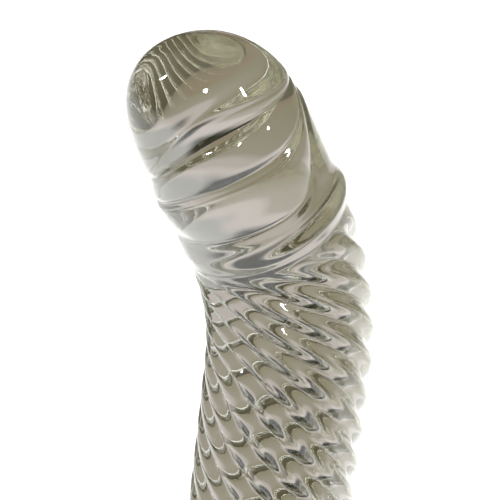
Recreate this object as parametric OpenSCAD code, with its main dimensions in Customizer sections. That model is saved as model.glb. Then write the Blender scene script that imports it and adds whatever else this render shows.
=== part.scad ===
// Glass massager: a solid rod of clear glass that stands on a round foot.
// From the floor up: a foot, a plain stem, a straight shaft with spiral ribs,
// the same shaft round a bend, a neck ring, an oblique collar and a domed head.
// The glass is one solid, so neighbouring sections meet face to face and never move.
// Origin: centre of the foot's underside, +Z up the straight shaft, bend towards -X.

/* [Foot and stem] */
// Diameter of the foot
foot_d = 50; // [40:1:64]
// Height of the foot
foot_h = 7; // [6:0.5:12]
// Radius of the foot's round rim
foot_rim = 3; // [1:0.1:3]
// Diameter of the stem at its waist
stem_d = 29; // [22:1:36]
// Height of the stem between the foot and the ribs
stem_h = 22; // [16:1:40]
// Radius of the fillet where the stem spreads onto the foot
stem_fillet = 6; // [1:0.5:10]

/* [Shaft] */
// Diameter of the shaft over the crests of its ribs
shaft_d = 34; // [28:0.5:42]
// Length of the straight ribbed shaft
straight_h = 78; // [50:1:120]
// Radius of the bend, to the middle of the shaft
bend_r = 65; // [45:1:90]
// Angle that the bend turns through
bend_angle = 28.5; // [8:0.5:45]

/* [Ribs] */
// Number of ribs that wind round the shaft side by side
rib_starts = 12; // [8:1:16]
// Length of shaft in which one rib goes round once
rib_lead = 92; // [60:1:140]
// How many times faster the ribs wind round the bend than up the straight shaft
bend_twist = 1.12; // [1:0.01:1.3]
// Depth of the grooves between the ribs
rib_depth = 1.9; // [0.6:0.1:2.2]
// Sharpness of the crests: 1 is a plain wave, less is a broader groove
rib_shape = 0.7; // [0.6:0.05:1.2]
// Length over which the ribs fade in and out
rib_fade = 6; // [4:0.5:15]
// Turn of the whole rib pattern about the shaft
rib_turn = 24; // [0:1:30]

/* [Head] */
// Distance from the bend to the crease, on the inner side
neck_h = 20.5; // [16:0.5:28]
// Height of the dome above that crease
dome_h = 23; // [18:0.5:36]
// Diameter of the dome
dome_d = 34.3; // [30:0.1:42]
// Offset of the dome's tip towards the inner side
tip_offset = 2.6; // [0:0.1:4]
// Depth of the crease under the dome, at the sides and the back
crease_depth = 0.6; // [0.5:0.1:1.6]
// Depth of the crease across the front, where the dome overhangs more
crease_front = 3.2; // [0.5:0.1:3.5]
// How much lower the crease dips on the inner side than elsewhere
crease_dip = 7; // [0:0.5:9]
// Half angle over which the crease dips
dip_angle = 48; // [30:1:70]
// Diameter of the collar at its fullest
collar_d = 35.5; // [32:0.1:44]
// Height of the collar on the inner side
collar_h = 13; // [8:0.5:15]
// Height that is left of the collar on the outer side
collar_end = 1.5; // [1:0.5:6]
// Depth of the fine groove across the collar
collar_groove = 0.8; // [0:0.1:1]
// Half angle over which the collar's lower edge sweeps up
sweep_angle = 34; // [15:1:50]
// Depth of the fold under the collar
fold_depth = 0.7; // [0.2:0.1:1.2]
// How far the neck ring stands out from the shaft, on the outer side
ring_proud = 1.2; // [0.3:0.1:2.5]
// Height of the neck ring's fullest line above its lower edge
ring_h = 3; // [2:0.5:5]
// How much lower that edge runs across the front and back
ring_sag = 2; // [0:0.5:4]

/* [Hidden] */

// stations along the centre line, measured from the floor
shaft_start = foot_h + stem_h;
bend_start = shaft_start + straight_h;
bend_end = bend_start + bend_r * bend_angle * PI / 180;

// the fillet keeps clear of the foot's round rim
fillet = min(stem_fillet, foot_d / 2 - foot_rim - stem_d / 2, stem_h / 2);

// fineness of the surfaces
arc_steps = 12;          // steps in a quarter round of the foot and stem
rib_points = 8;          // points across one rib
shaft_step = 3;          // distance between rings on the shaft
columns = rib_starts * rib_points;
neck_steps = 7;          // rings across the neck ring
collar_steps = 11;       // rings across the collar
dome_steps = 17;         // rings from the crease to the tip
collar_crowd = 1.4;      // more than 1 crowds the collar's rings towards the crease
dome_crowd = 1.3;        // and the dome's rings towards it from above
dome_power = 2.35;       // 2 is an ellipse, more is fuller at the shoulder
front_power = 2.05;      // the same for the dome's profile across the front
roll_side = 2.2;         // height over which the dome rolls under, at the sides and the back
roll_front = 6;          // and across the front
lip_depth = 0.5;         // how far the collar's top edge stands back from the dome
lip_height = 1;          // spread of the crease's lower wall, down the collar
ring_width = 2.4;        // spread of the neck ring's round top
fold_width = 1.4;        // spread of the fold under the collar
ring_inner = 0.2;        // share of the neck ring that is left on the inner side
groove_place = 0.6;      // share of the collar's height at which its groove runs
groove_width = 0.05;     // spread of that groove, as a share of the same height
$fn = 96;

glass = [0.66, 0.66, 0.58];
glass_dark = [0.52, 0.51, 0.42];
glass_light = [0.74, 0.74, 0.68];

// ---- helpers ----

function mix(a, b, t) = a + (b - a) * t;
function clamp01(t) = min(max(t, 0), 1);
function smooth(t) = let (c = clamp01(t)) c * c * (3 - 2 * c);
function bell(x, width) = exp(-pow(x / width, 2));
function half_turn(phi) = phi - 360 * floor((phi + 180) / 360);

// ---- the centre line ----

// lean of the centre line from upright, at a station
function lean(s) = min(max(s - bend_start, 0) / bend_r * 180 / PI, bend_angle);
function axis_x(s) = -bend_r * (1 - cos(lean(s))) - max(s - bend_end, 0) * sin(bend_angle);
function axis_z(s) =
    min(s, bend_start) + bend_r * sin(lean(s)) + max(s - bend_end, 0) * cos(bend_angle);

// a point r from the centre line; phi is 0 on the outer side and 90 at the back
function around(s, phi, r, shift = 0) =
    let (out = r * cos(phi) + shift)
    [axis_x(s) + out * cos(lean(s)), r * sin(phi), axis_z(s) + out * sin(lean(s))];

// ---- the ribbed shaft ----

function groove(turn) = 1 - pow((1 + cos(360 * turn)) / 2, rib_shape);
function rib_strength(s) =
    smooth((s - shaft_start) / rib_fade) * smooth((bend_end - s) / rib_fade);
function shaft_radius(s, turn) = shaft_d / 2 - rib_depth * rib_strength(s) * groove(turn);

// each column of points keeps its place on its own rib, and so winds with the ribs
function column_angle(i, s) =
    360 * i / columns
    - 360 * (s + (bend_twist - 1) * max(s - bend_start, 0)) / rib_lead
    + rib_turn;

// the neck ring's lower edge sags, and the shaft's rings come to follow it round the bend
function edge_sag(phi) = ring_sag * pow(sin(phi), 2);
function follow_edge(s) = smooth((s - bend_start) / (bend_end - bend_start));

function shaft_ring(s) = [
    for (i = [0 : columns - 1])
        let (phi = column_angle(i, s))
        around(s - edge_sag(phi) * follow_edge(s), phi, shaft_radius(s, i / rib_points))
];

function shaft_rings(from, to) =
    let (steps = ceil((to - from) / shaft_step))
    [for (k = [0 : steps]) shaft_ring(mix(from, to, k / steps))];

// ---- the head: heights are measured along it from the end of the bend ----

function crease_height(phi) =
    neck_h + crease_dip * (1 - bell(180 - abs(half_turn(phi)), dip_angle));

function fold_height(phi) =
    mix(neck_h - collar_h, crease_height(0) - collar_end, bell(half_turn(phi), sweep_angle));

function neck_radius(h, phi) =
    let (
        above = h + edge_sag(phi),
        rise = smooth(above / ring_h),
        proud = ring_proud * mix(ring_inner, 1, (1 + cos(phi)) / 2)
    )
    shaft_d / 2
    + proud * rise * bell(max(above - ring_h, 0), ring_width)
    - fold_depth * rise * bell(fold_height(phi) - h, fold_width);

// 1 at the front, less towards the sides, 0 round the back
function frontness(phi) = pow(max(-sin(phi), 0), 2);

function dome_share(h) = clamp01((h - neck_h) / dome_h);
function dome_body(h, phi) =
    let (power = mix(dome_power, front_power, frontness(phi)))
    dome_d / 2 * pow(1 - pow(dome_share(h), power), 1 / power);

function crease_cut(phi) = mix(crease_depth, crease_front, frontness(phi));
function dome_radius(h, phi) =
    let (roll = mix(roll_side, roll_front, frontness(phi)))
    dome_body(h, phi)
    - crease_cut(phi) * pow(clamp01(1 - (h - crease_height(phi)) / roll), 2);

function collar_radius(t, phi) =
    let (
        low = neck_radius(fold_height(phi), phi),
        high = dome_body(crease_height(phi), phi) - lip_depth,
        tall = crease_height(phi) - fold_height(phi),
        full = max(collar_d / 2 - (low + high) / 2, 0),
        groove = collar_groove * bell(t - groove_place, groove_width)
    )
    mix(low, high, t)
    + clamp01(tall / collar_h) * (full * pow(sin(180 * t), 0.9) - groove)
    - (crease_cut(phi) - lip_depth) * t * exp(-(1 - t) * tall / lip_height);

function head_point(h, phi, r) =
    around(bend_end + h, phi, r, -tip_offset * pow(dome_share(h), 2));

// the head's columns carry on from the shaft's, so that the sections share their edge points
head_angles = [for (i = [0 : columns - 1]) column_angle(i, bend_end)];

function neck_rings() = [
    for (k = [0 : neck_steps])
        [for (phi = head_angles)
            let (h = mix(-edge_sag(phi), fold_height(phi), k / neck_steps))
            head_point(h, phi, neck_radius(h, phi))]
];

function collar_rings() = [
    for (k = [0 : collar_steps])
        let (t = 1 - pow(1 - k / collar_steps, collar_crowd))
        [for (phi = head_angles)
            let (h = mix(fold_height(phi), crease_height(phi), t))
            head_point(h, phi, collar_radius(t, phi))]
];

// steps of angle, as on a ball, so that rings crowd towards the tip as well
function dome_ring_list() = [
    for (k = [0 : dome_steps - 1])
        let (t = pow(k / dome_steps, dome_crowd))
        [for (phi = head_angles)
            let (
                from = asin(dome_share(crease_height(phi))),
                h = neck_h + dome_h * sin(mix(from, 90, t))
            )
            head_point(h, phi, dome_radius(h, phi))]
];

// middle points of the faces where the head's sections meet
neck_base = head_point(0, 0, 0);
fold_middle = head_point(neck_h - collar_h, 0, 0);
crease_middle = head_point(neck_h, 0, 0);
tip = head_point(neck_h + dome_h, 0, 0);

// ---- solids ----

// a closed solid through a stack of rings, with a fan of triangles at each end
module skin(rings, bottom, top) {
    n = len(rings[0]);
    last = len(rings) - 1;
    points = [for (ring = rings) each ring, bottom, top];
    sides = [
        for (k = [0 : last - 1], i = [0 : n - 1])
            let (a = k * n + i, b = k * n + (i + 1) % n)
            each [[a, a + n, b], [b, a + n, b + n]]
    ];
    bottom_fan = [for (i = [0 : n - 1]) [(last + 1) * n, i, (i + 1) % n]];
    top_fan = [
        for (i = [0 : n - 1])
            [(last + 1) * n + 1, last * n + (i + 1) % n, last * n + i]
    ];
    polyhedron(points = points, faces = [each sides, each bottom_fan, each top_fan]);
}

// points of a quarter round, from one angle to another
function arc(middle, r, from, to) = [
    for (k = [0 : arc_steps])
        let (a = mix(from, to, k / arc_steps))
        middle + r * [cos(a), sin(a)]
];

module foot() {
    rim_x = foot_d / 2 - foot_rim;
    color(glass_light)
        rotate_extrude()
            polygon([
                [0, 0],
                each arc([rim_x, foot_rim], foot_rim, -90, 0),
                each arc([rim_x, foot_h - foot_rim], foot_rim, 0, 90),
                [0, foot_h],
            ]);
}

module stem() {
    waist_z = foot_h + fillet;
    spread = [
        for (k = [1 : arc_steps])
            let (t = k / arc_steps)
            [mix(stem_d, shaft_d, smooth(t)) / 2, mix(waist_z, shaft_start, t)]
    ];
    color(glass)
        rotate_extrude()
            polygon([
                [0, foot_h],
                each arc([stem_d / 2 + fillet, waist_z], fillet, -90, -180),
                each spread,
                [0, shaft_start],
            ]);
}

module straight_shaft() {
    color(glass)
        skin(shaft_rings(shaft_start, bend_start), [0, 0, shaft_start], [0, 0, bend_start]);
}

module bent_shaft() {
    color(glass_light)
        skin(shaft_rings(bend_start, bend_end), [0, 0, bend_start], neck_base);
}

module neck_ring() {
    color(glass)
        skin(neck_rings(), neck_base, fold_middle);
}

module ridge_collar() {
    color(glass_light)
        skin(collar_rings(), fold_middle, crease_middle);
}

module domed_head() {
    color(glass_dark)
        skin(dome_ring_list(), crease_middle, tip);
}

foot();
stem();
straight_shaft();
bent_shaft();
neck_ring();
ridge_collar();
domed_head();
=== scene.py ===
import math

import bpy
from mathutils import Matrix, Vector


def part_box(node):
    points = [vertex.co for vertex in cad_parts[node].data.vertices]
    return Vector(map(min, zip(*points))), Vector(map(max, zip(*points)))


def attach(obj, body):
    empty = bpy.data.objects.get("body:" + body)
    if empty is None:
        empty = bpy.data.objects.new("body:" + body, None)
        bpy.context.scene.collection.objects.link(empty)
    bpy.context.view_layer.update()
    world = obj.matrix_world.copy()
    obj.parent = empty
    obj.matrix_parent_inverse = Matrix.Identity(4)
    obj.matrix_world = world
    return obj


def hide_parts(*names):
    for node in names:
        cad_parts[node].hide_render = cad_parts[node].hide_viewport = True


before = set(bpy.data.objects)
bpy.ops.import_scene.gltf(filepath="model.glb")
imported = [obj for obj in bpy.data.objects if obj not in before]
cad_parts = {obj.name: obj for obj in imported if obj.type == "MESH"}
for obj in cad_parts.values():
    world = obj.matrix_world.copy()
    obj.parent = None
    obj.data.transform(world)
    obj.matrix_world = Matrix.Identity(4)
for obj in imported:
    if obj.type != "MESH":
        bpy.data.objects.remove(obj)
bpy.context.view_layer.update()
mm = 0.001


# small helpers

def mix(a, b, t):
    return a + (b - a) * t


def clamp01(t):
    return min(max(t, 0.0), 1.0)


def smooth(t):
    t = clamp01(t)
    return t * t * (3 - 2 * t)


def bell(x, width):
    return math.exp(-(x / width) ** 2)


# unit vector towards a place so many degrees round from the front and up
def directionTo(turn, lift):
    turn, lift = math.radians(turn), math.radians(lift)
    return Vector((math.sin(turn) * math.cos(lift), -math.cos(turn) * math.cos(lift), math.sin(lift)))


# x and y only lay the nodes out
def addNode(tree, kind, x=0, y=0, **settings):
    node = tree.nodes.new(kind)
    node.location = (x * 200, y * 180)
    for name, value in settings.items():
        setattr(node, name, value)
    return node


def wire(tree, *pairs):
    for source, target in pairs:
        tree.links.new(source, target)


cameraSetup = {
    "azimuth": -12,                     # degrees round the object, 0 looks along +Y
    "elevation": 24,                    # degrees above level
    "roll": 6.7,                        # degrees, so the straight shaft leans right
    "distance": 0.6,
    "lookAt": (-0.0098, 0.0037, 0.1308),
    "viewWidth": 0.1,                   # metres across the picture at lookAt
    "sensor": 36,
    "nearest": 0.01,
}


def makeCamera(setup):
    data = bpy.data.cameras.new("viewCamera")
    camera = bpy.data.objects.new("viewCamera", data)
    bpy.context.scene.collection.objects.link(camera)
    away = directionTo(setup["azimuth"], setup["elevation"])
    facing = away.to_track_quat("Z", "Y").to_matrix().to_4x4()
    place = Matrix.Translation(Vector(setup["lookAt"]) + away * setup["distance"])
    camera.matrix_world = place @ facing @ Matrix.Rotation(math.radians(setup["roll"]), 4, "Z")
    data.sensor_width = setup["sensor"]
    data.lens = data.sensor_width * setup["distance"] / setup["viewWidth"]
    data.clip_start = setup["nearest"]
    data.dof.use_dof = False
    bpy.context.scene.camera = camera


makeCamera(cameraSetup)
print("camera set")


# one closed skin for the whole body, because the real thing is one solid of glass

glassBody = {
    "columns": 192,                     # points round the body, 16 to each rib
    "rowSpacing": 1.1 * mm,             # between rows of points on the shaft
    "undersideRings": 4,
    "rimSteps": 10,
    "filletSteps": 12,
    "stemSteps": 14,
    "neckRows": 24,
    "collarRows": 48,
    "collarCrowd": 1.4,                 # more than 1 crowds rows towards the crease
    "domeRows": 64,
    "domeCrowd": 1.3,
    "footRim": 3.0 * mm,
    "stemWaist": 14.5 * mm,             # radius
    "stemFillet": 6.0 * mm,
    "bendRadius": 65 * mm,
    "bendAngle": 28.5,                  # degrees
    "bendTwist": 1.12,                  # how many times faster the ribs wind round the bend
    "neckHeight": 20.5 * mm,            # bend to crease, on the inner side
    "domeHeight": 23 * mm,
    "domeRadius": 17.15 * mm,
    "domePower": 2.35,                  # 2 is an ellipse, more is fuller at the shoulder
    "frontPower": 2.05,                 # the same across the front
    "tipOffset": 2.6 * mm,
    "creaseDepth": (0.6 * mm, 3.2 * mm),  # at the sides and back, and across the front
    "creaseRoll": (2.2 * mm, 6 * mm),   # height over which the dome rolls under to it, likewise
    "creasePower": 2.0,                 # more makes the roll sharper at the crease
    "lipDepth": 0.5 * mm,               # how far the collar's top edge stands back from the dome
    "lipHeight": 1.0 * mm,              # spread of the crease's lower wall, down the collar
    "creaseDip": 7 * mm,                # how much lower the crease runs on the inner side
    "dipAngle": 48,                     # degrees over which it dips
    "collarRadius": 17.75 * mm,
    "collarHeight": 13 * mm,            # on the inner side
    "collarEnd": 1.5 * mm,              # what is left of it on the outer side
    "collarPower": 0.9,                 # 1 is a plain sine, less is fuller at the edges
    "collarGroove": 0.8 * mm,
    "groovePlace": 0.6,                 # share of the collar's height
    "grooveWidth": 0.05,
    "sweepAngle": 34,                   # degrees over which the fold sweeps up
    "foldDepth": 0.7 * mm,
    "foldWidth": 1.4 * mm,
    "ringProud": 1.2 * mm,
    "ringInner": 0.2,                   # share of it on the inner side
    "ringHeight": 3 * mm,
    "ringWidth": 2.4 * mm,
    "ringSag": 2 * mm,                  # how much lower its edge runs across the front and back
}

ribSizes = {
    "Rib Count": 12,
    "Rib Lead": 92 * mm,
    "Rib Turn": math.radians(24),
    "Rib Depth": 1.9 * mm,
    "Rib Shape": 0.7,
    "Fade Length": 6 * mm,
    "Ripple Height": 0.05 * mm,
    "Ripple Size": 90.0,                # ripples across a metre
}
rippleDetail = 1.5
rippleStart = 6 * mm                    # height over which the ripples set in above the foot's flat

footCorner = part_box("foot")[1]
footRadius, footTop = footCorner.x, footCorner.z
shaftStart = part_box("stem")[1].z
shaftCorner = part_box("straight_shaft")[1]
shaftRadius, bendStart = shaftCorner.x, shaftCorner.z
bendEnd = bendStart + glassBody["bendRadius"] * math.radians(glassBody["bendAngle"])


# point on the centre line and the lean there
def centreLine(station):
    radius, full = glassBody["bendRadius"], math.radians(glassBody["bendAngle"])
    lean = min(max(station - bendStart, 0) / radius, full)
    over = max(station - bendEnd, 0)
    x = -radius * (1 - math.cos(lean)) - over * math.sin(full)
    z = min(station, bendStart) + radius * math.sin(lean) + over * math.cos(full)
    return Vector((x, 0, z)), lean


# length of straight shaft in which the ribs wind as far as they do up to here
def wound(station):
    return station + (glassBody["bendTwist"] - 1) * max(station - bendStart, 0)


def halfTurn(phi):
    return (math.degrees(phi) + 180) % 360 - 180


def creaseAt(phi):
    g = glassBody
    return g["neckHeight"] + g["creaseDip"] * (1 - bell(180 - abs(halfTurn(phi)), g["dipAngle"]))


def foldAt(phi):
    g = glassBody
    low = g["neckHeight"] - g["collarHeight"]
    return mix(low, creaseAt(0) - g["collarEnd"], bell(halfTurn(phi), g["sweepAngle"]))


def edgeSag(phi):
    return glassBody["ringSag"] * math.sin(phi) ** 2


def domeShare(height):
    return clamp01((height - glassBody["neckHeight"]) / glassBody["domeHeight"])


def neckRadius(height, phi):
    g = glassBody
    above = height + edgeSag(phi)
    rise = smooth(above / g["ringHeight"])
    side = mix(g["ringInner"], 1, (1 + math.cos(phi)) / 2)
    ring = g["ringProud"] * side * rise * bell(max(above - g["ringHeight"], 0), g["ringWidth"])
    return shaftRadius + ring - g["foldDepth"] * bell(foldAt(phi) - height, g["foldWidth"]) * rise


def frontness(phi):
    return max(-math.sin(phi), 0) ** 2


def domeBody(height, phi):
    power = mix(glassBody["domePower"], glassBody["frontPower"], frontness(phi))
    return glassBody["domeRadius"] * (1 - domeShare(height) ** power) ** (1 / power)


def creaseDepth(phi):
    return mix(*glassBody["creaseDepth"], frontness(phi))


def domeRadius(height, phi):
    roll = mix(*glassBody["creaseRoll"], frontness(phi))
    under = clamp01(1 - (height - creaseAt(phi)) / roll)
    return domeBody(height, phi) - creaseDepth(phi) * under ** glassBody["creasePower"]


def collarRadius(share, phi):
    g = glassBody
    tall = creaseAt(phi) - foldAt(phi)
    low, high = neckRadius(foldAt(phi), phi), domeBody(creaseAt(phi), phi) - g["lipDepth"]
    full = max(g["collarRadius"] - (low + high) / 2, 0)
    groove = g["collarGroove"] * bell(share - g["groovePlace"], g["grooveWidth"])
    swell = full * math.sin(math.pi * share) ** g["collarPower"]
    roll = clamp01(tall / g["collarHeight"]) * (swell - groove)
    lip = (creaseDepth(phi) - g["lipDepth"]) * share * math.exp(-(1 - share) * tall / g["lipHeight"])
    return mix(low, high, share) + roll - lip


def quarterTurn(steps):
    return [math.radians(mix(0, 90, k / steps)) for k in range(steps + 1)]


# radius and height from the middle of the underside up to the ribs
def footAndStemOutline():
    g = glassBody
    rim, fillet, waist = g["footRim"], g["stemFillet"], g["stemWaist"]
    rimX, filletX, filletZ = footRadius - rim, waist + fillet, footTop + fillet
    rings = g["undersideRings"]
    points = [(footRadius * k / (rings + 2), 0) for k in range(1, rings + 1)]
    for a in quarterTurn(g["rimSteps"]):
        points.append((rimX + rim * math.sin(a), rim - rim * math.cos(a)))
    for a in quarterTurn(g["rimSteps"]):
        points.append((rimX + rim * math.cos(a), footTop - rim + rim * math.sin(a)))
    for a in quarterTurn(g["filletSteps"]):
        points.append((filletX - fillet * math.sin(a), filletZ - fillet * math.cos(a)))
    for k in range(1, g["stemSteps"] + 1):
        t = k / g["stemSteps"]
        points.append((mix(waist, shaftRadius, smooth(t)), mix(filletZ, shaftStart, t)))
    return points


# rows of (station, angle, radius, shift towards the outer side, station on the ribs)
def bodyRows():
    g = glassBody
    columns = g["columns"]
    lead, turn = ribSizes["Rib Lead"], ribSizes["Rib Turn"]

    def angles(station):                # the columns wind with the ribs, and only along them
        along = wound(min(max(station, shaftStart), bendEnd))
        return [2 * math.pi * (i / columns - along / lead) + turn for i in range(columns)]

    rows = []
    for radius, height in footAndStemOutline():
        rows.append([(height, phi, radius, 0.0, height) for phi in angles(height)])
    steps = round((bendEnd - shaftStart) / g["rowSpacing"])
    for k in range(1, steps + 1):
        station = mix(shaftStart, bendEnd, k / steps)
        follow = smooth((station - bendStart) / (bendEnd - bendStart))
        row = []
        for phi in angles(station):
            row.append((station - edgeSag(phi) * follow, phi, shaftRadius, 0.0, station))
        rows.append(row)
    headAngles = angles(bendEnd)
    for k in range(1, g["neckRows"] + 1):
        heights = [mix(-edgeSag(phi), foldAt(phi), k / g["neckRows"]) for phi in headAngles]
        rows.append([headPoint(h, phi, neckRadius(h, phi)) for h, phi in zip(heights, headAngles)])
    for k in range(1, g["collarRows"] + 1):
        share = 1 - (1 - k / g["collarRows"]) ** g["collarCrowd"]
        heights = [mix(foldAt(phi), creaseAt(phi), share) for phi in headAngles]
        rows.append([headPoint(h, phi, collarRadius(share, phi)) for h, phi in zip(heights, headAngles)])
    for k in range(1, g["domeRows"]):
        share = (k / g["domeRows"]) ** g["domeCrowd"]
        row = []
        for phi in headAngles:
            start = math.asin(domeShare(creaseAt(phi)))
            height = g["neckHeight"] + g["domeHeight"] * math.sin(mix(start, math.pi / 2, share))
            row.append(headPoint(height, phi, domeRadius(height, phi)))
        rows.append(row)
    return rows


def headPoint(height, phi, radius):
    return (bendEnd + height, phi, radius, -glassBody["tipOffset"] * domeShare(height) ** 2, bendEnd)


# the smooth body, with what the rib tree needs written on its points
def makeBodyMesh():
    rows = bodyRows()
    columns = glassBody["columns"]
    points, stations, arounds, outwards = [], [], [], []

    def addPoint(station, phi, radius, shift, ribStation=0.0):
        middle, lean = centreLine(station)
        side = Vector((math.cos(lean), 0, math.sin(lean)))
        away = side * math.cos(phi) + Vector((0, math.sin(phi), 0))
        points.append(middle + away * radius + side * shift)
        stations.append(ribStation)
        arounds.append(phi)
        outwards.append(away)

    addPoint(0.0, 0.0, 0.0, 0.0)
    for row in rows:
        for entry in row:
            addPoint(*entry)
    tipHeight = glassBody["neckHeight"] + glassBody["domeHeight"]
    addPoint(*headPoint(tipHeight, 0.0, 0.0))
    faces = []
    for i in range(columns):
        after = (i + 1) % columns
        faces.append((0, 1 + after, 1 + i))
        for k in range(len(rows) - 1):
            low, high = 1 + k * columns, 1 + (k + 1) * columns
            faces.append((low + i, low + after, high + after, high + i))
        last = 1 + (len(rows) - 1) * columns
        faces.append((last + i, last + after, len(points) - 1))
    mesh = bpy.data.meshes.new("glassBody")
    mesh.from_pydata(points, [], faces)
    mesh.attributes.new("station", "FLOAT", "POINT").data.foreach_set("value", stations)
    mesh.attributes.new("around", "FLOAT", "POINT").data.foreach_set("value", arounds)
    flat = [value for vector in outwards for value in vector]
    mesh.attributes.new("outward", "FLOAT_VECTOR", "POINT").data.foreach_set("vector", flat)
    return mesh


# a Geometry Nodes tree cuts the winding grooves and ripples the glass

def makeRibTree():
    tree = bpy.data.node_groups.new("windingRibs", "GeometryNodeTree")
    sockets = tree.interface
    sockets.new_socket("Geometry", in_out="INPUT", socket_type="NodeSocketGeometry")
    for name, value in ribSizes.items():
        kind = "NodeSocketInt" if isinstance(value, int) else "NodeSocketFloat"
        sockets.new_socket(name, in_out="INPUT", socket_type=kind).default_value = value
    for name in ("Bend Twist", "First Station", "Bend Station", "Last Station"):
        sockets.new_socket(name, in_out="INPUT", socket_type="NodeSocketFloat")
    sockets.new_socket("Material", in_out="INPUT", socket_type="NodeSocketMaterial")
    sockets.new_socket("Geometry", in_out="OUTPUT", socket_type="NodeSocketGeometry")
    given = addNode(tree, "NodeGroupInput", -9, 0).outputs

    def sums(operation, a, b=None, clamp=False):
        count = len(tree.nodes)
        node = addNode(tree, "ShaderNodeMath", count * 0.4 - 8, -count % 7, operation=operation)
        node.use_clamp = clamp
        for socket, value in zip(node.inputs, (a, b)):
            if value is None:
                continue
            if isinstance(value, (int, float)):
                socket.default_value = value
            else:
                wire(tree, (value, socket))
        return node.outputs[0]

    def named(name, kind="FLOAT"):
        node = addNode(tree, "GeometryNodeInputNamedAttribute", -8, -2, data_type=kind)
        node.inputs["Name"].default_value = name
        return node.outputs["Attribute"]

    def easing(value):                  # soft start and end between 0 and 1
        count = len(tree.nodes)
        node = addNode(tree, "ShaderNodeMapRange", count * 0.4 - 8, -2, interpolation_type="SMOOTHSTEP")
        wire(tree, (value, node.inputs["Value"]))
        return node.outputs["Result"]

    station, around = named("station"), named("around")
    overBend = sums("MAXIMUM", sums("SUBTRACT", station, given["Bend Station"]), 0.0)
    along = sums("ADD", station, sums("MULTIPLY", overBend, sums("SUBTRACT", given["Bend Twist"], 1.0)))
    turns = sums("ADD", sums("DIVIDE", sums("SUBTRACT", around, given["Rib Turn"]), 2 * math.pi),
                 sums("DIVIDE", along, given["Rib Lead"]))
    wave = sums("COSINE", sums("MULTIPLY", sums("MULTIPLY", turns, given["Rib Count"]), 2 * math.pi))
    crest = sums("POWER", sums("MULTIPLY", sums("ADD", wave, 1.0), 0.5, clamp=True), given["Rib Shape"])
    groove = sums("SUBTRACT", 1.0, crest)
    fadeIn = easing(sums("DIVIDE", sums("SUBTRACT", station, given["First Station"]), given["Fade Length"]))
    fadeOut = easing(sums("DIVIDE", sums("SUBTRACT", given["Last Station"], station), given["Fade Length"]))
    cut = sums("MULTIPLY", sums("MULTIPLY", groove, sums("MULTIPLY", fadeIn, fadeOut)), given["Rib Depth"])

    noise = addNode(tree, "ShaderNodeTexNoise", -3, -5, noise_dimensions="3D")
    noise.inputs["Detail"].default_value = rippleDetail
    wire(tree, (given["Ripple Size"], noise.inputs["Scale"]))
    ripple = sums("MULTIPLY", sums("SUBTRACT", noise.outputs[0], 0.5), given["Ripple Height"])
    stands = easing(sums("DIVIDE", station, rippleStart))
    inward = sums("SUBTRACT", sums("MULTIPLY", ripple, stands), cut)

    offset = addNode(tree, "ShaderNodeVectorMath", 1, -1, operation="SCALE")
    wire(tree, (named("outward", "FLOAT_VECTOR"), offset.inputs[0]), (inward, offset.inputs["Scale"]))
    move = addNode(tree, "GeometryNodeSetPosition", 2, 0)
    shade = addNode(tree, "GeometryNodeSetShadeSmooth", 3, 0)
    real = addNode(tree, "GeometryNodeRealizeInstances", 4, 0)
    paint = addNode(tree, "GeometryNodeSetMaterial", 5, 0)
    out = addNode(tree, "NodeGroupOutput", 6, 0)
    wire(tree,
         (given["Geometry"], move.inputs["Geometry"]), (offset.outputs[0], move.inputs["Offset"]),
         (move.outputs[0], shade.inputs["Geometry"]), (shade.outputs[0], real.inputs[0]),
         (real.outputs[0], paint.inputs["Geometry"]), (given["Material"], paint.inputs["Material"]),
         (paint.outputs[0], out.inputs["Geometry"]))
    return tree


def makeGlassBody(material):
    rough = bpy.data.objects.new("roughBody", makeBodyMesh())
    bpy.context.scene.collection.objects.link(rough)
    tree = makeRibTree()
    modifier = rough.modifiers.new("ribs", "NODES")
    modifier.node_group = tree
    inputs = dict(ribSizes)
    inputs.update({"First Station": shaftStart, "Bend Station": bendStart, "Last Station": bendEnd})
    inputs.update({"Bend Twist": glassBody["bendTwist"], "Material": material})
    for item in tree.interface.items_tree:
        if item.in_out == "INPUT" and item.name in inputs:
            modifier[item.identifier] = inputs[item.name]
    bpy.context.view_layer.update()
    seen = rough.evaluated_get(bpy.context.evaluated_depsgraph_get())
    mesh = bpy.data.meshes.new_from_object(seen)
    mesh.name = "glassBody"
    for name in ("station", "around", "outward"):
        spare = mesh.attributes.get(name)
        if spare:
            mesh.attributes.remove(spare)
    bpy.data.objects.remove(rough)
    body = bpy.data.objects.new("glassBody", mesh)
    bpy.context.scene.collection.objects.link(body)
    return body


clearGlass = {
    "tint": (0.80, 0.79, 0.68, 1),
    "density": 14,                      # how fast the tint deepens, for each metre
    "ior": 1.47,
    "smudge": (0.5, 0.8),               # noise between which the polish falls off
    "smudgeScale": 45,
    "smudgeDetail": 4,
    "roughness": (0.0, 0.025),
    "orangePeel": 0.03,                 # strength of the fine unevenness
    "orangePeelScale": 160,
    "orangePeelHeight": 1 * mm,
}


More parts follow.
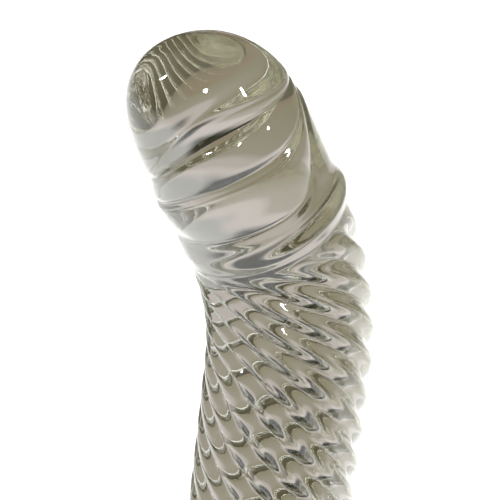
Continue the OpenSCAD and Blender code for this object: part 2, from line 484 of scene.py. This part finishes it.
def makeGlass(name, look):
    material = bpy.data.materials.new(name)
    material.use_nodes = True
    tree = material.node_tree
    tree.nodes.clear()
    out = addNode(tree, "ShaderNodeOutputMaterial", 3, 0)
    shader = addNode(tree, "ShaderNodeBsdfPrincipled", 1, 0)
    shader.inputs["Base Color"].default_value = (1, 1, 1, 1)
    shader.inputs["Transmission Weight"].default_value = 1
    shader.inputs["IOR"].default_value = look["ior"]
    depth = addNode(tree, "ShaderNodeVolumeAbsorption", 1, -3)
    depth.inputs["Color"].default_value = look["tint"]
    depth.inputs["Density"].default_value = look["density"]
    place = addNode(tree, "ShaderNodeTexCoord", -4, 0)
    smudge = addNode(tree, "ShaderNodeTexNoise", -3, 0)
    smudge.inputs["Scale"].default_value = look["smudgeScale"]
    smudge.inputs["Detail"].default_value = look["smudgeDetail"]
    level = addNode(tree, "ShaderNodeMapRange", -1, 0)
    ends = (*look["smudge"], *look["roughness"])
    for socket, value in zip(("From Min", "From Max", "To Min", "To Max"), ends):
        level.inputs[socket].default_value = value
    peel = addNode(tree, "ShaderNodeTexNoise", -3, -2)
    peel.inputs["Scale"].default_value = look["orangePeelScale"]
    bump = addNode(tree, "ShaderNodeBump", -1, -2)
    bump.inputs["Strength"].default_value = look["orangePeel"]
    bump.inputs["Distance"].default_value = look["orangePeelHeight"]
    wire(tree,
         (place.outputs["Object"], smudge.inputs["Vector"]),
         (place.outputs["Object"], peel.inputs["Vector"]),
         (smudge.outputs[0], level.inputs["Value"]), (level.outputs["Result"], shader.inputs["Roughness"]),
         (peel.outputs[0], bump.inputs["Height"]), (bump.outputs[0], shader.inputs["Normal"]),
         (shader.outputs[0], out.inputs["Surface"]), (depth.outputs[0], out.inputs["Volume"]))
    return material


glass = makeGlass("clearGlass", clearGlass)
body = makeGlassBody(glass)
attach(body, "root")
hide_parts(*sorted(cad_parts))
print("glass body made:", len(body.data.polygons), "faces")


# studio: a pale floor, a plain room that the glass shows, soft lights

studio = {
    "backdrop": 1.12,                   # brightness of the white that the camera sees
    "behind": [                         # degrees above level, and the colour seen there
        (-90, (0.22, 0.21, 0.13)),
        (-58, (0.26, 0.25, 0.16)),
        (-38, (0.31, 0.29, 0.21)),
        (-27, (0.36, 0.33, 0.27)),
        (-24, (0.52, 0.475, 0.44)),
        (-17, (0.56, 0.51, 0.48)),
        (-12, (0.36, 0.36, 0.34)),
        (12, (0.28, 0.28, 0.24)),
        (40, (0.42, 0.42, 0.38)),
        (90, (0.80, 0.80, 0.78)),
    ],
    "front": [                          # the same for the side that the viewer stands on
        (-90, (0.24, 0.22, 0.15)),
        (-50, (0.17, 0.155, 0.10)),
        (-20, (0.085, 0.08, 0.05)),
        (8, (0.11, 0.11, 0.07)),
        (30, (0.36, 0.36, 0.31)),
        (90, (0.75, 0.75, 0.73)),
    ],
    "turnover": (-0.05, 0.3),           # where front gives way to behind, from -1 to 1 along Y
    "patches": (0.30, 0.25, 0.17),      # tan shapes low down behind
    "patchScale": 1.35,
    "patchEdge": (0.55, 0.60),
    "patchTop": (-0.05, -0.2),
    "doorway": (0.02, 0.02, 0.012),     # dark opening straight behind
    "doorwaySide": (0.46, 0.30),        # its soft edges, from -1 to 1 across and up
    "doorwayFoot": (-0.34, -0.20),
    "doorwayTop": (0.80, 0.62),
}


# colours by height above level
def heightRamp(tree, height, stops, y):
    ramp = addNode(tree, "ShaderNodeValToRGB", -1, y)
    elements = ramp.color_ramp.elements
    for k, (degrees, colour) in enumerate(stops):
        place = (math.sin(math.radians(degrees)) + 1) / 2
        stop = elements[k] if k < 2 else elements.new(place)
        stop.position, stop.color = place, (*colour, 1)
    wire(tree, (height, ramp.inputs["Fac"]))
    return ramp.outputs["Color"]


def softStep(tree, value, start, end, x, y):
    step = addNode(tree, "ShaderNodeMapRange", x, y, interpolation_type="SMOOTHSTEP")
    step.inputs["From Min"].default_value = start
    step.inputs["From Max"].default_value = end
    wire(tree, (value, step.inputs["Value"]))
    return step.outputs["Result"]


def blendColour(tree, share, first, second, x, y):
    blend = addNode(tree, "ShaderNodeMix", x, y, data_type="RGBA")
    wire(tree, (share, blend.inputs[0]), (first, blend.inputs[6]))
    if isinstance(second, tuple):
        blend.inputs[7].default_value = (*second, 1)
    else:
        wire(tree, (second, blend.inputs[7]))
    return blend.outputs[2]


def makeWorld(look):
    world = bpy.data.worlds.new("studioRoom")
    bpy.context.scene.world = world
    world.use_nodes = True
    tree = world.node_tree
    tree.nodes.clear()
    direction = addNode(tree, "ShaderNodeTexCoord", -5, 0).outputs["Generated"]
    split = addNode(tree, "ShaderNodeSeparateXYZ", -4, 0)
    half = addNode(tree, "ShaderNodeMath", -3, 0, operation="MULTIPLY_ADD")
    half.inputs[1].default_value = 0.5
    half.inputs[2].default_value = 0.5
    wire(tree, (direction, split.inputs[0]), (split.outputs["Z"], half.inputs[0]))
    behind = heightRamp(tree, half.outputs[0], look["behind"], 1)
    front = heightRamp(tree, half.outputs[0], look["front"], -1)
    noise = addNode(tree, "ShaderNodeTexNoise", -3, -3)
    noise.inputs["Scale"].default_value = look["patchScale"]
    noise.inputs["Detail"].default_value = 0
    wire(tree, (direction, noise.inputs["Vector"]))
    patches = softStep(tree, noise.outputs[0], *look["patchEdge"], -1, -3)
    below = softStep(tree, split.outputs["Z"], *look["patchTop"], -1, -4)
    share = addNode(tree, "ShaderNodeMath", 0, -3, operation="MULTIPLY")
    wire(tree, (patches, share.inputs[0]), (below, share.inputs[1]))
    backSide = blendColour(tree, share.outputs[0], behind, look["patches"], 1, 0)
    aside = addNode(tree, "ShaderNodeMath", -2, -6, operation="ABSOLUTE")
    wire(tree, (split.outputs["X"], aside.inputs[0]))
    between = softStep(tree, aside.outputs[0], *look["doorwaySide"], -1, -6)
    opening = softStep(tree, split.outputs["Z"], *look["doorwayFoot"], -1, -7)
    under = softStep(tree, split.outputs["Z"], *look["doorwayTop"], -1, -8)
    dark = between
    for factor in (opening, under):
        both = addNode(tree, "ShaderNodeMath", 0, -7, operation="MULTIPLY")
        wire(tree, (dark, both.inputs[0]), (factor, both.inputs[1]))
        dark = both.outputs[0]
    backSide = blendColour(tree, dark, backSide, look["doorway"], 1, -2)
    turned = softStep(tree, split.outputs["Y"], *look["turnover"], 0, 2)
    seen = blendColour(tree, turned, front, backSide, 2, 0)
    room = addNode(tree, "ShaderNodeBackground", 3, 0)
    white = addNode(tree, "ShaderNodeBackground", 3, 2)
    white.inputs["Color"].default_value = (1, 1, 1, 1)
    white.inputs["Strength"].default_value = look["backdrop"]
    path = addNode(tree, "ShaderNodeLightPath", 2, 4)
    either = addNode(tree, "ShaderNodeMath", 3, 4, operation="MAXIMUM")
    choose = addNode(tree, "ShaderNodeMixShader", 4, 0)
    out = addNode(tree, "ShaderNodeOutputWorld", 5, 0)
    wire(tree,
         (seen, room.inputs["Color"]),
         (path.outputs["Is Camera Ray"], either.inputs[0]),
         (path.outputs["Is Diffuse Ray"], either.inputs[1]),
         (either.outputs[0], choose.inputs["Fac"]), (room.outputs[0], choose.inputs[1]),
         (white.outputs[0], choose.inputs[2]), (choose.outputs[0], out.inputs["Surface"]))


paleFloor = {
    "half": 2.0,                        # metres from its middle to its edges
    "colour": (0.93, 0.93, 0.93, 1),
    "roughness": 0.6,
    "specular": 0.2,
}


def makeFloor(look):
    mesh = bpy.data.meshes.new("floor")
    half = look["half"]
    corners = [(-half, -half, 0), (half, -half, 0), (half, half, 0), (-half, half, 0)]
    mesh.from_pydata(corners, [], [(0, 1, 2, 3)])
    floor = bpy.data.objects.new("floor", mesh)
    bpy.context.scene.collection.objects.link(floor)
    pale = bpy.data.materials.new("paleFloor")
    pale.use_nodes = True
    shader = pale.node_tree.nodes["Principled BSDF"]
    shader.inputs["Base Color"].default_value = look["colour"]
    shader.inputs["Roughness"].default_value = look["roughness"]
    shader.inputs["Specular IOR Level"].default_value = look["specular"]
    mesh.materials.append(pale)
    floor.visible_transmission = False  # what shows through the glass is the room


lights = {
    # degrees round from the front, degrees up, width and height, watts, colour
    "keyLamp": (-22, 50, (0.07, 0.07), 16, (1, 1, 1)),
    "leftLamp": (-92, 40, (0.05, 0.16), 8, (0.95, 0.98, 1)),
    "rightLamp": (42, 50, (0.05, 0.16), 8, (0.95, 0.98, 1)),
}


def makeLight(name, turn, lift, size, power, colour, target):
    data = bpy.data.lights.new(name, "AREA")
    data.shape = "ELLIPSE"
    data.size, data.size_y = size
    data.energy = power
    data.color = colour
    light = bpy.data.objects.new(name, data)
    bpy.context.scene.collection.objects.link(light)
    away = directionTo(turn, lift)
    facing = away.to_track_quat("Z", "Y").to_matrix().to_4x4()
    light.matrix_world = Matrix.Translation(target + away) @ facing


makeWorld(studio)
makeFloor(paleFloor)
headMiddle = Vector((-0.02, 0, 0.15))   # the lamps stand a metre from here
for name, values in lights.items():
    makeLight(name, *values, headMiddle)
paths = bpy.context.scene.cycles
mostBounces = 24                        # light bounces many times inside solid glass
paths.max_bounces = paths.transmission_bounces = paths.glossy_bounces = mostBounces
bpy.context.scene.view_settings.view_transform = "Standard"
bpy.context.scene.view_settings.look = "None"
print("studio set")
